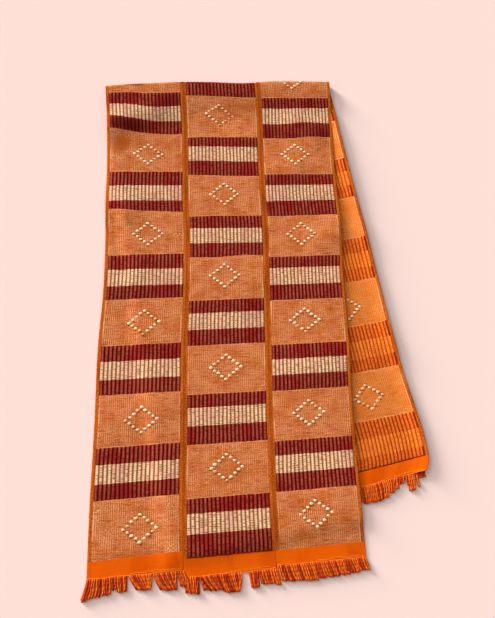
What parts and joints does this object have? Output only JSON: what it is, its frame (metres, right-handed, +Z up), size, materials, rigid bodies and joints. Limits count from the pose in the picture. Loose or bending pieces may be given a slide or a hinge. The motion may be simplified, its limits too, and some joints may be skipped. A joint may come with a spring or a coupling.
{
  "type": "folded strip-woven baule cloth",
  "caption": "Strip-woven cotton cloth with ribbed bands, diamond blocks and fringed ends, folded once across and laid flat.",
  "frame": {"origin": "middle of the part's box, on the surface that it lies on", "axes": "+Z up from the surface, +Y along the warp of the front layer from its fringe to the fold, +X across the strips"},
  "size_m": [0.4752, 0.773, 0.0107],
  "materials": {
    "woven_cotton": "matte ribbed weave, orange ground with dark red and cream bands",
    "fringe_yarn": "matte loose cotton yarn, orange and dark red"
  },
  "bodies": {
    "root": {"strip_left": "woven_cotton", "strip_middle": "woven_cotton", "strip_right": "woven_cotton", "fringe_front_left": "fringe_yarn", "fringe_front_middle": "fringe_yarn", "fringe_front_right": "fringe_yarn", "fringe_back_left": "fringe_yarn", "fringe_back_middle": "fringe_yarn", "fringe_back_right": "fringe_yarn"}
  },
  "joints": []
}
